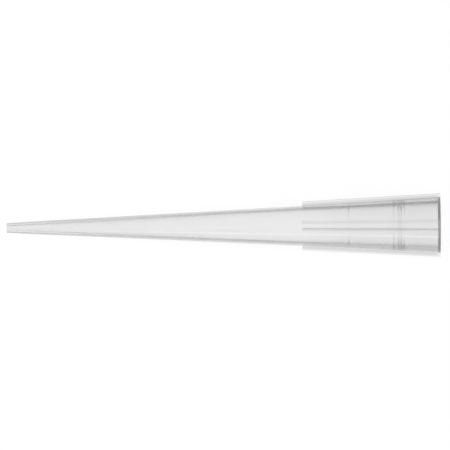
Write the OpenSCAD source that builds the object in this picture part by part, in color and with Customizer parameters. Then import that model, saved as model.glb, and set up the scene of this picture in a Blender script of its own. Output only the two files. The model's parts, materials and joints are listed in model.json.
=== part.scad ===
// Disposable tip for an air-displacement pipette, injection moulded in one piece.
// A long thin-walled cone holds the liquid, and the ribbed hub above it grips the pipette's nozzle.
// The tip lies on its side on the XY plane: orifice towards -X, mouth towards +X.
// All lengths are in millimetres and all angles in degrees.

/* [Lengths] */
// Whole tip, from the orifice to the mouth rim
tip_length = 51; // [47:0.5:56]
// Ribbed hub, from the feet of the ribs to the mouth rim
hub_length = 16.25; // [14:0.05:19]
// Nozzle socket, from the mouth rim down to where the bore's taper changes
socket_depth = 11.7; // [9:0.1:13]

/* [Bores] */
// Bore at the orifice
orifice_bore = 0.5; // [0.3:0.05:0.8]
// Bore where the shaft meets the hub
shoulder_bore = 4.09; // [3.8:0.01:4.2]
// Bore at the foot of the nozzle socket
socket_bore = 4.3; // [4.2:0.05:4.6]
// Bore at the mouth, without its lead-in
mouth_bore = 5.28; // [5:0.01:5.6]

/* [Walls] */
// Wall of the shaft, the same from the orifice to the hub
shaft_wall = 0.32; // [0.25:0.01:0.45]
// Wall at the mouth, without the lead-in
mouth_wall = 0.65; // [0.5:0.01:0.85]
// Lead-in chamfer round the inside of the mouth, at 45 degrees
lead_in = 0.3; // [0.1:0.05:0.4]

/* [Sealing rings] */
// Depth of the middle of the sealing land below the mouth rim
seal_depth = 4.78; // [4:0.01:6]
// Length of the cylindrical land that seals on the nozzle
land_length = 0.2; // [0.15:0.01:0.5]
// Length of the slope on each side of the land
land_flank = 0.15; // [0.1:0.01:0.25]
// Height of the land above the bore's wall
land_height = 0.085; // [0.07:0.005:0.12]
// Width of the bead on each side of the land
bead_width = 0.24; // [0.12:0.01:0.3]
// Height of each bead above the bore's wall
bead_height = 0.045; // [0.02:0.005:0.06]
// Plain bore between the land's slope and the bead towards the orifice
lower_gap = 0.33; // [0.05:0.01:0.5]
// Plain bore between the land's slope and the bead towards the mouth
upper_gap = 0.11; // [0.05:0.01:0.5]

/* [Ribs] */
// Number of ribs, evenly spaced round the hub
rib_count = 4; // [3:1:8]
// Thickness of a rib
rib_thickness = 0.22; // [0.15:0.01:0.5]
// Height of a rib above the hub's wall, at its foot
rib_foot_height = 0.53; // [0.3:0.01:0.8]
// Height of a rib above the hub's wall, at the mouth
rib_mouth_height = 0.48; // [0.3:0.01:0.8]
// Chamfer on the outer corner of a rib's foot, at 45 degrees
foot_chamfer = 0.08; // [0.05:0.01:0.25]

/* [Hidden] */
$fn = 96;

// Heights along the tip's own axis, from the orifice
shoulder_z = tip_length - hub_length;
socket_z = tip_length - socket_depth;
seal_z = tip_length - seal_depth;
bead_step = land_length / 2 + land_flank + bead_width / 2;
lower_bead_z = seal_z - bead_step - lower_gap;
upper_bead_z = seal_z + bead_step + upper_gap;

// How far a rib's root is sunk in the wall, so that the two are one solid
root_sink = 0.08;

// Radius of the plain bore and of the outside of the wall at a height
function bore_r(z) = lookup(z, [
    [0, orifice_bore / 2],
    [shoulder_z, shoulder_bore / 2],
    [socket_z, socket_bore / 2],
    [tip_length, mouth_bore / 2]
]);
function wall_r(z) = lookup(z, [
    [0, orifice_bore / 2 + shaft_wall],
    [shoulder_z, shoulder_bore / 2 + shaft_wall],
    [tip_length, mouth_bore / 2 + mouth_wall]
]);

// Points of a ring inside the bore, from its top edge to its bottom edge.
// A flat crest of no length gives a pointed bead.
function ring(z, crest, flank, height) = let (
    top = z + crest / 2,
    bottom = z - crest / 2,
    crest_r = bore_r(z) - height
) [
    [bore_r(top + flank), top + flank],
    [crest_r, top],
    if (crest > 0) [crest_r, bottom],
    [bore_r(bottom - flank), bottom - flank]
];

// Radius of a rib's crest at a height. The crest itself starts above the foot's chamfer.
foot_crest = wall_r(shoulder_z) + rib_foot_height;
mouth_crest = wall_r(tip_length) + rib_mouth_height;
crest_z = shoulder_z + foot_chamfer;
function rib_r(z) = lookup(z, [[shoulder_z, foot_crest], [tip_length, mouth_crest]]);

// The tip rests on the orifice's edge and on the lowest point of the mouth or of the rib crests.
// Two ribs straddle the line of contact.
rib_phase = 180 / rib_count;
function reach_down(wall, crest) =
    max(wall, crest * cos(rib_phase) + rib_thickness / 2 * sin(rib_phase));
foot_reach = reach_down(wall_r(crest_z), rib_r(crest_z));
mouth_reach = reach_down(wall_r(tip_length), mouth_crest);
lie_angle = atan(max((foot_reach - wall_r(0)) / crest_z, (mouth_reach - wall_r(0)) / tip_length));

// The origin is under the middle of the tip's box
low_x = -wall_r(0) * sin(lie_angle);
high_x = tip_length * cos(lie_angle) + mouth_reach * sin(lie_angle);

// Shaft, hub and bore as one turned shell
module shell() {
    rotate_extrude()
        polygon(concat(
            [
                [wall_r(0), 0],
                [wall_r(shoulder_z), shoulder_z],
                [wall_r(tip_length), tip_length],
                [bore_r(tip_length) + lead_in, tip_length],
                [bore_r(tip_length - lead_in), tip_length - lead_in]
            ],
            ring(upper_bead_z, 0, bead_width / 2, bead_height),
            ring(seal_z, land_length, land_flank, land_height),
            ring(lower_bead_z, 0, bead_width / 2, bead_height),
            [
                [bore_r(socket_z), socket_z],
                [bore_r(shoulder_z), shoulder_z],
                [bore_r(0), 0]
            ]
        ));
}

// One rib along the hub, standing out towards +X
module rib() {
    rotate([90, 0, 0])
        linear_extrude(rib_thickness, center = true)
            polygon([
                [wall_r(shoulder_z) - root_sink, shoulder_z],
                [foot_crest - foot_chamfer, shoulder_z],
                [rib_r(crest_z), crest_z],
                [mouth_crest, tip_length],
                [wall_r(tip_length) - root_sink, tip_length]
            ]);
}

// The whole moulding, laid down from its own upright axis
module pipette_tip() {
    color("whitesmoke", 0.6)
        translate([-(low_x + high_x) / 2, 0, wall_r(0) * cos(lie_angle)])
            rotate([0, 90 - lie_angle, 0])
                union() {
                    shell();
                    for (i = [0 : rib_count - 1])
                        rotate(rib_phase + i * 360 / rib_count)
                            rib();
                }
}

pipette_tip();
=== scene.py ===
import json
import math

import bpy
from mathutils import Matrix, Vector


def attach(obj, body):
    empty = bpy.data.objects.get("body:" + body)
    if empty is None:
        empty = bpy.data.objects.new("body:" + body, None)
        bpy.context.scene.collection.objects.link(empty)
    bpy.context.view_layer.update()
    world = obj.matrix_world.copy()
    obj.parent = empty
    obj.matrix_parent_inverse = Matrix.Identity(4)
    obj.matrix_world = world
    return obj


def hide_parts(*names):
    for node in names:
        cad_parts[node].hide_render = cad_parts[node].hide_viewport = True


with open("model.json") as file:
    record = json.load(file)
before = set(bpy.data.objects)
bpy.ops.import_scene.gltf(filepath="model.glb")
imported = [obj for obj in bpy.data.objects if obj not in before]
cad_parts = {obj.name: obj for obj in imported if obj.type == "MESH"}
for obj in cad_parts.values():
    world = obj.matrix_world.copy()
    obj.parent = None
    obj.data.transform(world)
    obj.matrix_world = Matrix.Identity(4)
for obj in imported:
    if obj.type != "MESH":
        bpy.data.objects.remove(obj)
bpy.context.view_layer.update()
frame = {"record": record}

# ---------------------------------------------------------------------------------- wall and bore
# The tip is one thin moulding of clear polypropylene, shot round a steel core pin. The bore widens
# in three tapers, for the liquid, the shoulder and the pipette's nozzle, and the wall keeps one
# thickness up to the hub. Sizes are in millimetres, and heights go up the axis from the orifice.

MM = 0.001
TIP_LENGTH = 51.0
SOCKET_DEPTH = 11.7
ORIFICE_BORE = 0.5
SHOULDER_BORE = 4.09
SOCKET_BORE = 4.3
MOUTH_BORE = 5.28
SHAFT_WALL = 0.32
MOUTH_WALL = 0.65
LEAD_IN = 0.3
SOCKET_Z = TIP_LENGTH - SOCKET_DEPTH

mounts = {mount["name"]: mount for mount in frame["record"]["mounts"]}
mouth = Vector(mounts["ejector_rim"]["pos_m"])
axis = Vector(mounts["ejector_rim"]["axis"]).normalized()


def height_of(mount):
    """The height of a mount up the tip's axis."""
    return TIP_LENGTH - (mouth - Vector(mounts[mount]["pos_m"])).dot(axis) / MM


SHOULDER_Z = height_of("rack_seat")


def taper(z, points):
    """The radius at a height, on a run of straight tapers."""
    for (z0, r0), (z1, r1) in zip(points, points[1:]):
        if z <= z1:
            return r0 + (r1 - r0) * (z - z0) / (z1 - z0)
    return points[-1][1]


def bore_r(z):
    """The radius of the bore at a height, without its rings."""
    return taper(z, [(0, ORIFICE_BORE / 2), (SHOULDER_Z, SHOULDER_BORE / 2),
                     (SOCKET_Z, SOCKET_BORE / 2), (TIP_LENGTH, MOUTH_BORE / 2)])


def wall_r(z):
    """The outside radius of the wall at a height, without the ribs."""
    return taper(z, [(0, ORIFICE_BORE / 2 + SHAFT_WALL),
                     (SHOULDER_Z, SHOULDER_BORE / 2 + SHAFT_WALL),
                     (TIP_LENGTH, MOUTH_BORE / 2 + MOUTH_WALL)])


# The corners of the section through one wall, each with its radius, its height and how far it is
# rounded. They start with the outside and the rim.
ORIFICE_ROUND = 0.05
SHOULDER_ROUND = 0.3
RIM_ROUND = 0.06
LIP_ROUND = 0.03
corners = [(wall_r(0), 0, ORIFICE_ROUND),
           (wall_r(SHOULDER_Z), SHOULDER_Z, SHOULDER_ROUND),
           (wall_r(TIP_LENGTH), TIP_LENGTH, RIM_ROUND),
           (bore_r(TIP_LENGTH) + LEAD_IN, TIP_LENGTH, LIP_ROUND),
           (bore_r(TIP_LENGTH - LEAD_IN), TIP_LENGTH - LEAD_IN, LIP_ROUND)]

# The land is a narrow cylinder that bites on the nozzle, with a fine bead on each side of it.
# Further down, a hairline is left where the two lengths of the core pin meet.
LAND_Z = height_of("nozzle_socket")
LAND_FLAT = mounts["nozzle_socket"]["dims"]["length_mm"]
LAND_RISE = 0.085
LAND_SLOPE = 0.15
BEAD_RISE = 0.045
BEAD_SLOPE = 0.12
UPPER_BEAD_STEP = 0.48
LOWER_BEAD_STEP = 0.70
UPPER_BEAD_Z = LAND_Z + UPPER_BEAD_STEP
LOWER_BEAD_Z = LAND_Z - LOWER_BEAD_STEP
PIN_JOINT_Z = 40.2
PIN_JOINT_RISE = 0.04
PIN_JOINT_SLOPE = 0.1
FLANK_ROUND = 0.02
CREST_ROUND = 0.03
SOCKET_ROUND = 0.05

bore_rings = [(UPPER_BEAD_Z, 0, BEAD_SLOPE, BEAD_RISE),
              (LAND_Z, LAND_FLAT, LAND_SLOPE, LAND_RISE),
              (LOWER_BEAD_Z, 0, BEAD_SLOPE, BEAD_RISE),
              (PIN_JOINT_Z, 0, PIN_JOINT_SLOPE, PIN_JOINT_RISE)]
for z, flat, slope, stands in bore_rings:
    top = z + flat / 2
    foot = z - flat / 2
    crest_r = bore_r(z) - stands
    corners.append((bore_r(top + slope), top + slope, FLANK_ROUND))
    if flat:
        corners.append((crest_r, top, FLANK_ROUND))
        corners.append((crest_r, foot, FLANK_ROUND))
    else:
        corners.append((crest_r, z, CREST_ROUND))
    corners.append((bore_r(foot - slope), foot - slope, FLANK_ROUND))
corners.append((bore_r(SOCKET_Z), SOCKET_Z, SOCKET_ROUND))
corners.append((bore_r(SHOULDER_Z), SHOULDER_Z, SHOULDER_ROUND))
corners.append((bore_r(0), 0, LIP_ROUND))


def rounded(corner, before, after, radius, steps=4):
    """Points that round one corner off, with one more on each side to hold the flats flat."""
    corner, before, after = Vector(corner), Vector(before), Vector(after)
    back, on = (before - corner).normalized(), (after - corner).normalized()
    half = back.angle(on) / 2
    reach = radius / math.tan(half)
    middle = corner + (back + on).normalized() * radius / math.sin(half)
    start, end = corner + back * reach - middle, corner + on * reach - middle
    turn = start.angle(end)
    points = [corner + back * (reach + radius)]
    for step in range(steps + 1):
        k = step / steps
        spoke = start * math.sin((1 - k) * turn) + end * math.sin(k * turn)
        points.append(middle + spoke / math.sin(turn))
    return points + [corner + on * (reach + radius)]


section = []
for i, (r, z, radius) in enumerate(corners):
    after = corners[(i + 1) % len(corners)]
    section += rounded((r, z), corners[i - 1][:2], after[:2], radius)

# One circle is drawn out along the section, a step at a time, until it comes back to its start
AROUND = 192
SECTION_GAP = 0.0005
bpy.ops.object.select_all(action="DESELECT")
ring_r, ring_z = section[0]
bpy.ops.mesh.primitive_circle_add(vertices=AROUND, radius=ring_r, fill_type="NOTHING",
                                  location=(0, 0, ring_z))
tip = bpy.context.object
tip.name = "tip_moulding"
bpy.ops.object.transform_apply(location=True, rotation=False, scale=False)
bpy.ops.object.mode_set(mode="EDIT")
bpy.ops.mesh.select_all(action="SELECT")
for r, z in section[1:] + section[:1]:
    bpy.ops.mesh.extrude_region_move(TRANSFORM_OT_translate={"value": (0, 0, z - ring_z)})
    bpy.ops.transform.resize(value=(r / ring_r, r / ring_r, 1), center_override=(0, 0, z))
    ring_r, ring_z = r, z
bpy.ops.mesh.select_all(action="SELECT")
bpy.ops.mesh.remove_doubles(threshold=SECTION_GAP)
bpy.ops.mesh.normals_make_consistent(inside=False)
bpy.ops.object.mode_set(mode="OBJECT")

# ------------------------------------------------------------------------------------------- ribs
# Four thin ribs stiffen the hub, and their feet stand on the rack's deck. They are moulded with
# the wall: each flares into it at the root, its foot is chamfered outside, and its edges are soft.

RIB_COUNT = 4
RIB_THICKNESS = 0.22
RIB_FOOT_HEIGHT = 0.53
RIB_MOUTH_HEIGHT = 0.48
FOOT_CHAMFER = 0.08
RIB_SINK = 0.08
ROOT_FLARE = 0.04
FLARE_STEPS = 5
EDGE_ROUND = 0.03
LONG_EDGE = 1.0
SHOULDER_R = wall_r(SHOULDER_Z)
HUB_LENGTH = TIP_LENGTH - SHOULDER_Z
TOUCH = 0.01


def pick(blank, kind, wanted):
    """Selects the corners or edges that pass a test, and leaves the blank in edit mode."""
    bpy.ops.object.mode_set(mode="EDIT")
    bpy.ops.mesh.select_mode(type=kind)
    bpy.ops.mesh.select_all(action="DESELECT")
    bpy.ops.object.mode_set(mode="OBJECT")
    for part in {"VERT": blank.data.vertices, "EDGE": blank.data.edges}[kind]:
        ends = [part] if kind == "VERT" else [blank.data.vertices[i] for i in part.vertices]
        part.select = wanted(*[end.co for end in ends])
    bpy.ops.object.mode_set(mode="EDIT")


# How high above the wall each step of a rib is, and how wide. The flare follows the wall's curve.
half = RIB_THICKNESS / 2
steps = [(-RIB_SINK, half + ROOT_FLARE)]
for step in range(FLARE_STEPS + 1):
    turn = math.radians(90 * step / FLARE_STEPS)
    width = half + ROOT_FLARE * (1 - math.sin(turn))
    steps.append((ROOT_FLARE * (1 - math.cos(turn)) - width ** 2 / 2 / wall_r(SOCKET_Z), width))
steps.append((RIB_FOOT_HEIGHT, half))

# A strip as long as the hub, sunk in the wall and leaning out with it, is drawn out step by step
bpy.ops.object.select_all(action="DESELECT")
bpy.ops.mesh.primitive_plane_add(size=1, location=(0, 0, 0), rotation=(0, math.radians(90), 0))
rib = bpy.context.object
rib.name = "rib"
bpy.ops.object.transform_apply(location=False, rotation=True, scale=False)
bpy.ops.object.mode_set(mode="EDIT")
bpy.ops.mesh.select_all(action="SELECT")
bpy.ops.transform.resize(value=(1, 2 * steps[0][1], HUB_LENGTH), center_override=(0, 0, 0))
bpy.ops.transform.translate(value=(SHOULDER_R - RIB_SINK, 0, SHOULDER_Z + HUB_LENGTH / 2))
pick(rib, "VERT", lambda end: end.z > TIP_LENGTH - TOUCH)
bpy.ops.transform.translate(value=(wall_r(TIP_LENGTH) - SHOULDER_R, 0, 0))
bpy.ops.mesh.select_all(action="SELECT")
for (height, width), (next_height, next_width) in zip(steps, steps[1:]):
    bpy.ops.mesh.extrude_region_move(TRANSFORM_OT_translate={"value": (next_height - height, 0, 0)})
    bpy.ops.transform.resize(value=(1, next_width / width, 1), center_override=(0, 0, 0))

# The crest comes down a little towards the mouth. Then the foot's outer corner is chamfered, and
# the foot's edges and the two along the crest are rounded.
foot_crest = SHOULDER_R + RIB_FOOT_HEIGHT
mouth_crest = wall_r(TIP_LENGTH) + RIB_FOOT_HEIGHT
pick(rib, "VERT", lambda end: end.z > TIP_LENGTH - TOUCH and end.x > mouth_crest - TOUCH)
bpy.ops.transform.translate(value=(RIB_MOUTH_HEIGHT - RIB_FOOT_HEIGHT, 0, 0))
pick(rib, "EDGE", lambda a, b: min(a.x, b.x) > foot_crest - TOUCH
     and max(a.z, b.z) < SHOULDER_Z + TOUCH)
bpy.ops.mesh.bevel(offset=FOOT_CHAMFER, segments=1, affect="EDGES")
pick(rib, "EDGE", lambda a, b: min(a.x, b.x) > SHOULDER_R + ROOT_FLARE - TOUCH
     and (max(a.z, b.z) < SHOULDER_Z + FOOT_CHAMFER + TOUCH
          or abs(a.z - b.z) > LONG_EDGE and min(a.x, b.x) > foot_crest - TOUCH))
bpy.ops.mesh.bevel(offset=EDGE_ROUND, segments=3, affect="EDGES")
bpy.ops.mesh.select_all(action="SELECT")
bpy.ops.mesh.normals_make_consistent(inside=False)
bpy.ops.object.mode_set(mode="OBJECT")

# Each rib is a copy of the first, welded to the wall
for number in range(RIB_COUNT):
    bpy.ops.object.select_all(action="DESELECT")
    rib.select_set(True)
    bpy.context.view_layer.objects.active = rib
    bpy.ops.object.duplicate()
    one = bpy.context.object
    one.rotation_euler.z = math.radians(180 / RIB_COUNT + number * 360 / RIB_COUNT)
    bpy.ops.object.transform_apply(location=False, rotation=True, scale=False)
    bpy.context.view_layer.objects.active = tip
    weld = tip.modifiers.new("rib", "BOOLEAN")
    weld.operation = "UNION"
    weld.solver = "EXACT"
    weld.object = one
    bpy.ops.object.modifier_apply(modifier=weld.name)
    bpy.data.objects.remove(one)
bpy.data.objects.remove(rib)

# The finished moulding lies on its side, with its mouth where the pipette's ejector meets it
SMOOTH_UP_TO = 28.0
bpy.ops.object.select_all(action="DESELECT")
tip.select_set(True)
bpy.context.view_layer.objects.active = tip
tip.scale = (MM, MM, MM)
tip.rotation_euler.y = math.atan2(axis.x, axis.z)
tip.location = mouth - axis * TIP_LENGTH * MM
bpy.ops.object.transform_apply(location=True, rotation=True, scale=True)
bpy.ops.object.shade_smooth_by_angle(angle=math.radians(SMOOTH_UP_TO))

# ----------------------------------------------------------------------- the clear polypropylene
# Natural polypropylene is clear but slightly milky. The bore comes satin off its pin, and the
# outside is glossier, with faint turning rings from the mould. Fine draw lines run along both.
# On the slant the colour greys, partly for the plastic's haze and partly as painted shade.

IOR = 1.49
MILK_GREY = 0.5
HAZE_DENSITY = 250.0
ROUGH_OUT = 0.06
ROUGH_BORE = 0.235
# How much light a surface lets through, from square on (0) to edge on (1). The greying on the
# slant is partly haze and partly painted shade of the dark bands along the wall.
SLANT_BLEND = 0.5
OUT_TONES = [(0.25, 1.0), (0.33, 0.97), (0.40, 0.77), (0.50, 0.73), (0.60, 0.82), (0.80, 0.86),
             (1.0, 0.95)]
BORE_TONES = [(0.3, 1.0), (0.5, 0.97), (0.7, 0.64), (0.85, 0.41), (1.0, 0.41)]
# Painted shade on the slant, towards the thin end and on the bore at the land
THIN_END_SHADE_TONES = [(0.05, 0.99), (0.25, 0.95), (0.45, 0.95), (1.0, 0.95)]
LAND_SHADE_TONES = [(0.0, 0.985), (0.3, 0.94), (1.0, 0.92)]
# Painted shade on the slant over each sink mark
SINK_SHADE_TONES = [(0.33, 1.0), (0.43, 0.75), (0.8, 0.75), (1.0, 0.9)]
SEAM_SOFT = 0.03
# A rib's painted shade starts just below its foot and just above the wall, and changes up it
RIB_BELOW = 0.15
RIB_BELOW_END = 0.05
RIB_ABOVE = 0.02
RIB_ABOVE_END = 0.08
RIB_ROOT_SHADE = 0.72
RIB_CREST_SHADE = 0.93
RIB_TURN = 0.15
RIB_TURN_END = 0.5
LAND_REACH = 0.22
LAND_SOFT = 0.05
SINK_REACH = 0.2
RIM_FROM = 50.6
RIM_SOFT = 0.1
RIM_TONE = 0.95
RIM_ROUGH = 0.15
STREAK_WIDTH = 0.35
STREAK_LENGTH = 12.0
STREAK_DETAIL = 3.0
STREAK_GRAIN = 0.6
STREAK_FROM = 0.45
STREAK_TO = 0.75
STREAK_TONE = 0.985
STREAK_ROUGH_FROM = 0.35
STREAK_ROUGH = 0.06
RING_PITCH = 0.09
RING_DETAIL = 2.0
RING_BUMP = 0.00000012
TRAPPED = 2.5
SHADOW_TONE = 0.96

plastic = bpy.data.materials.new("clear_polypropylene")
plastic.use_nodes = True
plastic.node_tree.nodes.clear()


def add(tree, kind, feeds, **settings):
    """Adds a node, sets it up, wires or sets each input named, and returns its outputs."""
    made = tree.nodes.new("ShaderNode" + kind)
    for name, value in settings.items():
        setattr(made, name, value)
    for name, value in feeds.items():
        if isinstance(value, bpy.types.NodeSocket):
            tree.links.new(value, made.inputs[name])
        else:
            made.inputs[name].default_value = value
    return made.outputs


def calc(tree, operation, *values):
    """One sum on values that change over the surface."""
    return add(tree, "Math", dict(enumerate(values)), operation=operation)[0]


def rise(tree, value, start, end, low=0.0, high=1.0):
    """Goes from low to high as a value goes from start to end, and stays there."""
    return add(tree, "MapRange", {"Value": value, "From Min": start, "From Max": end,
                                  "To Min": low, "To Max": high}, interpolation_type="SMOOTHSTEP")[0]


def blend(tree, share, first, second, how="MIX"):
    """Mixes two colours, on sockets 6 and 7. A plain number is a tone, squared as in tones()."""
    feeds = {0: share}
    for socket, value in ((6, first), (7, second)):
        if isinstance(value, float):
            value = (value ** 2, value ** 2, value ** 2, 1)
        feeds[socket] = value
    return add(tree, "Mix", feeds, data_type="RGBA", blend_type=how)[2]


def tones(factor, stops):
    """A ramp of tones, each squared because the shader takes the root of its colour."""
    made = plastic.node_tree.nodes.new("ShaderNodeValToRGB")
    plastic.node_tree.links.new(factor, made.inputs[0])
    elements = made.color_ramp.elements
    while len(elements) < len(stops):
        elements.new(0.5)
    for element, (at, tone) in zip(elements, stops):
        element.position = at
        element.color = (tone ** 2, tone ** 2, tone ** 2, 1)
    return made.outputs[0]


# The pattern's own place: height up the axis in X, and across the tip in Y and Z, in millimetres
tree = plastic.node_tree
lie = math.atan2(axis.z, axis.x)
orifice = mouth - axis * TIP_LENGTH * MM
on_axis = add(tree, "Mapping", {
    "Vector": add(tree, "TexCoord", {})["Object"],
    "Scale": (1 / MM, 1 / MM, 1 / MM),
    "Rotation": (0, lie, 0),
    "Location": -(Matrix.Rotation(lie, 3, "Y") @ orifice) / MM})[0]
split = add(tree, "SeparateXYZ", {"Vector": on_axis})
height = split["X"]
across = calc(tree, "SQRT", calc(tree, "MULTIPLY_ADD", split["Y"], split["Y"],
                                 calc(tree, "MULTIPLY", split["Z"], split["Z"])))


def past(z0, r0, z1, r1):
    """How far a point is outside a cone that has one radius at one height and one at another."""
    slope = (r1 - r0) / (z1 - z0)
    cone_r = calc(tree, "MULTIPLY_ADD", height, slope, r0 - z0 * slope)
    return calc(tree, "SUBTRACT", across, cone_r)


def middle_r(z):
    """The radius halfway through the wall at a height."""
    return (bore_r(z) + wall_r(z)) / 2


outside = rise(tree, past(0, middle_r(0), SHOULDER_Z, middle_r(SHOULDER_Z)), -SEAM_SOFT, SEAM_SOFT)
on_rim = rise(tree, height, RIM_FROM, RIM_FROM + RIM_SOFT)
up_rib = past(SHOULDER_Z, SHOULDER_R, TIP_LENGTH, wall_r(TIP_LENGTH))
on_hub = rise(tree, height, SHOULDER_Z - RIB_BELOW, SHOULDER_Z - RIB_BELOW_END)
on_rib = calc(tree, "MULTIPLY", on_hub, rise(tree, up_rib, RIB_ABOVE, RIB_ABOVE_END))

# Haze and painted shade on the slant, different on the satin bore and on the glossier outside
slant = add(tree, "LayerWeight", {"Blend": SLANT_BLEND})["Facing"]
haze_and_painted_shade = blend(tree, outside, tones(slant, BORE_TONES), tones(slant, OUT_TONES))

# The ribs carry painted shade on the faces where light goes in: darkest at the root against the
# wall, lighter towards the crest, and none where light comes out
entering = calc(tree, "SUBTRACT", 1.0, add(tree, "NewGeometry", {})["Backfacing"])
to_crest = rise(tree, up_rib, RIB_TURN, RIB_TURN_END)
rib_painted_shade = blend(tree, to_crest, RIB_ROOT_SHADE, RIB_CREST_SHADE)
haze_and_painted_shade = blend(tree, on_rib, haze_and_painted_shade, blend(tree, entering, 1.0, rib_painted_shade))

# More painted shade on the slant, growing towards the thin end, and on the bore at the land
thin_end = rise(tree, height, 0.0, SHOULDER_Z, 1.0, 0.0)
haze_and_painted_shade = blend(tree, thin_end, haze_and_painted_shade, tones(slant, THIN_END_SHADE_TONES), "MULTIPLY")
off_land = calc(tree, "ABSOLUTE", calc(tree, "SUBTRACT", height, LAND_Z))
near_land = rise(tree, off_land, LAND_REACH + LAND_SOFT, LAND_REACH - LAND_SOFT)
on_land = calc(tree, "SUBTRACT", near_land, outside)
haze_and_painted_shade = blend(tree, on_land, haze_and_painted_shade, tones(slant, LAND_SHADE_TONES), "MULTIPLY")

# Each bead and each flank of the land leaves a sink mark on the outside. The wall is not sunk
# there; painted shade on the slant stands for it
sink_shade_spread = 0.0
for z in (UPPER_BEAD_Z, LAND_Z + LAND_SLOPE, LAND_Z - LAND_SLOPE, LOWER_BEAD_Z):
    off_ring = calc(tree, "ABSOLUTE", calc(tree, "SUBTRACT", height, z))
    sink_shade_spread = calc(tree, "MAXIMUM", sink_shade_spread, rise(tree, off_ring, SINK_REACH, 0.0))
sink_shade_mask = calc(tree, "MULTIPLY", sink_shade_spread, outside)
haze_and_painted_shade = blend(tree, sink_shade_mask, haze_and_painted_shade, tones(slant, SINK_SHADE_TONES), "MULTIPLY")

# The rim is satin, and takes one even tone in place of the painted shade on the slant, so it
# looks lighter than the bore
haze_and_painted_shade = blend(tree, on_rim, haze_and_painted_shade, RIM_TONE)

# Flow and draw lines along the tip, a little milkier than the rest, and rougher or smoother by
# up to half of the roughness given
stretched = add(tree, "Mapping", {
    "Vector": on_axis,
    "Scale": (1 / STREAK_LENGTH, 1 / STREAK_WIDTH, 1 / STREAK_WIDTH)})[0]
streaks = add(tree, "TexNoise", {"Vector": stretched, "Scale": 1.0, "Detail": STREAK_DETAIL,
                                 "Roughness": STREAK_GRAIN})["Fac"]
haze_and_painted_shade = blend(tree, rise(tree, streaks, STREAK_FROM, STREAK_TO), haze_and_painted_shade, STREAK_TONE, "MULTIPLY")
swing = rise(tree, streaks, STREAK_ROUGH_FROM, STREAK_TO, -0.5, 0.5)
rough = calc(tree, "MULTIPLY_ADD", outside, ROUGH_OUT - ROUGH_BORE, ROUGH_BORE)
rough = calc(tree, "MULTIPLY_ADD", swing, STREAK_ROUGH, rough)
rough = calc(tree, "MULTIPLY_ADD", on_rim, RIM_ROUGH, rough)

# Turning rings from the mould, too fine to see except as a slight softness
up_rings = calc(tree, "DIVIDE", height, RING_PITCH)
rings = add(tree, "TexNoise", {"W": up_rings, "Scale": 1.0, "Detail": RING_DETAIL},
            noise_dimensions="1D")["Fac"]
rings = calc(tree, "MULTIPLY", rings, outside)
turned = add(tree, "Bump", {"Height": rings, "Strength": 1.0, "Distance": RING_BUMP})[0]

glass = add(tree, "BsdfPrincipled", {"Transmission Weight": 1.0, "IOR": IOR, "Base Color": haze_and_painted_shade,
                                     "Roughness": rough, "Normal": turned})[0]

# Light that has been mirrored three times is let out, as the haze lets it out of the real wall.
# The floor's light and the shadow pass through nearly whole.
straight = add(tree, "BsdfTransparent", {"Color": (SHADOW_TONE, SHADOW_TONE, SHADOW_TONE, 1)})[0]
path = add(tree, "LightPath", {})
through = calc(tree, "MAXIMUM", calc(tree, "GREATER_THAN", path["Glossy Depth"], TRAPPED),
               calc(tree, "MAXIMUM", path["Is Shadow Ray"], path["Is Diffuse Ray"]))
surface = add(tree, "MixShader", {0: through, 1: glass, 2: straight})[0]
milk = add(tree, "VolumeAbsorption", {"Color": (MILK_GREY, MILK_GREY, MILK_GREY, 1),
                                      "Density": HAZE_DENSITY})[0]
add(tree, "OutputMaterial", {"Surface": surface, "Volume": milk})

tip.data.materials.clear()
tip.data.materials.append(plastic)
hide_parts("pipette_tip")
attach(tip, "root")

# -------------------------------------------------------------------------------------- the table
# A sheet of matt white paper, big enough to run out of sight. It takes the tip's faint shadow, and
# part of its white is its own, so that it stays white behind the tip and through it.

TABLE_SIZE = 3.0
PAPER_GREY = 0.95
PAPER_GLOW = 0.75
bpy.ops.object.select_all(action="DESELECT")
bpy.ops.mesh.primitive_plane_add(size=TABLE_SIZE, location=(0, 0, 0))
table = bpy.context.object
table.name = "table"
paper = bpy.data.materials.new("white_paper")
paper.use_nodes = True
tree = paper.node_tree
tree.nodes.clear()
matt = add(tree, "BsdfDiffuse", {"Color": (PAPER_GREY, PAPER_GREY, PAPER_GREY, 1)})[0]
white = add(tree, "Emission", {"Color": (1, 1, 1, 1), "Strength": 1.0})[0]
path = add(tree, "LightPath", {})
seen = calc(tree, "MAXIMUM", path["Is Camera Ray"],
            calc(tree, "MAXIMUM", path["Is Glossy Ray"], path["Is Transmission Ray"]))
glow = calc(tree, "MULTIPLY", seen, PAPER_GLOW)
paper_surface = add(tree, "MixShader", {0: glow, 1: matt, 2: white})[0]
add(tree, "OutputMaterial", {"Surface": paper_surface})
table.data.materials.append(paper)

# -------------------------------------------------------------------------------------- the light
# A studio that is white in front and all round along the table, and grey behind and above. In
# front of the tip one soft panel hangs high, and one long strip stands low.

ROOM_FRONT = 1.0
ROOM_BACK = 0.22
BACK_FROM = -0.8
BACK_TO = -0.1
LOW_WHITE = 0.75
PANEL_POWER = 3.1
PANEL_SIZE = 0.5
LIGHTS_AWAY = 0.6
PANEL_RISE = 62.0
world = bpy.data.worlds.new("studio")
bpy.context.scene.world = world
world.use_nodes = True
tree = world.node_tree
around = add(tree, "SeparateXYZ", {"Vector": add(tree, "TexCoord", {})["Generated"]})
falling = rise(tree, around["Y"], BACK_FROM, BACK_TO, ROOM_FRONT, ROOM_BACK)
low_down = add(tree, "MapRange", {"Value": around["Z"], "From Min": 0.0, "From Max": LOW_WHITE,
                                  "To Min": ROOM_FRONT, "To Max": 0.0})[0]
tree.links.new(calc(tree, "MAXIMUM", falling, low_down), tree.nodes["Background"].inputs["Color"])


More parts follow.
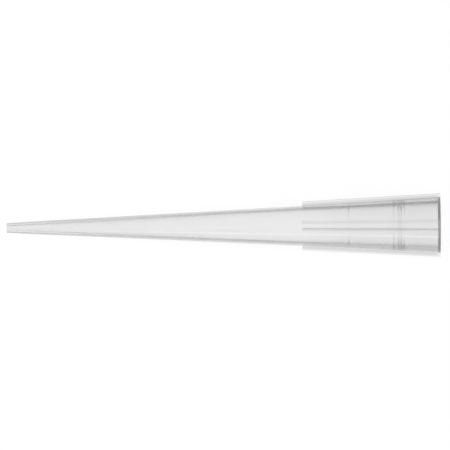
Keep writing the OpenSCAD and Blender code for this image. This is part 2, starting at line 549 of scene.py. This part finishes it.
def soft_light(name, power, wide, high, away, up):
    """A soft white rectangle in front of the tip and facing it, at an angle up from the table."""
    up = math.radians(up)
    bpy.ops.object.light_add(type="AREA", rotation=(math.radians(90) - up, 0, 0),
                             location=(0, -away * math.cos(up), away * math.sin(up)))
    lamp = bpy.context.object
    lamp.name = name
    lamp.data.shape = "RECTANGLE"
    lamp.data.size = wide
    lamp.data.size_y = high
    lamp.data.energy = power
    lamp.visible_camera = False
    lamp.visible_transmission = False
    return lamp


panel = soft_light("panel", PANEL_POWER, PANEL_SIZE, PANEL_SIZE, LIGHTS_AWAY, PANEL_RISE)
panel.visible_glossy = False

# A long low strip draws one highlight down the near side of the tip
STRIP_POWER = 0.72
STRIP_WIDE = 1.2
STRIP_HIGH = 0.08
STRIP_RISE = 4.0
soft_light("strip", STRIP_POWER, STRIP_WIDE, STRIP_HIGH, LIGHTS_AWAY, STRIP_RISE)

# ------------------------------------------------------------------------------------- the camera
# It looks down on the lying tip from the front through a long lens. It turns with the tip, so
# that the tip lies nearly level across the view.

ELEVATION = 54.6
ROLL = 0.40
AIM = 25.66
RAISE = 0.165
VIEW_WIDTH = 52.90
LENS = 1700.0
SENSOR = 36.0
CLIP_NEAR = 0.01
CLIP_FAR = 10
elevation = math.radians(ELEVATION)
azimuth = -math.asin(math.tan(lie) * math.tan(elevation))
back = Vector((math.sin(azimuth) * math.cos(elevation), -math.cos(azimuth) * math.cos(elevation),
               math.sin(elevation)))
roll = math.radians(ROLL)
up = back.cross(axis)
view_x = axis * math.cos(roll) - up * math.sin(roll)
view_y = axis * math.sin(roll) + up * math.cos(roll)
aim = mouth - axis * (TIP_LENGTH - AIM) * MM + view_y * RAISE * MM
lens = bpy.data.cameras.new("camera")
lens.lens = LENS
lens.sensor_width = SENSOR
lens.clip_start = CLIP_NEAR
lens.clip_end = CLIP_FAR
camera = bpy.data.objects.new("camera", lens)
bpy.context.scene.collection.objects.link(camera)
turned_to = Matrix((view_x, view_y, back)).transposed().to_4x4()
camera.matrix_world = Matrix.Translation(aim + back * VIEW_WIDTH * MM / SENSOR * LENS) @ turned_to
bpy.context.scene.camera = camera
bpy.context.scene.view_settings.view_transform = "Standard"
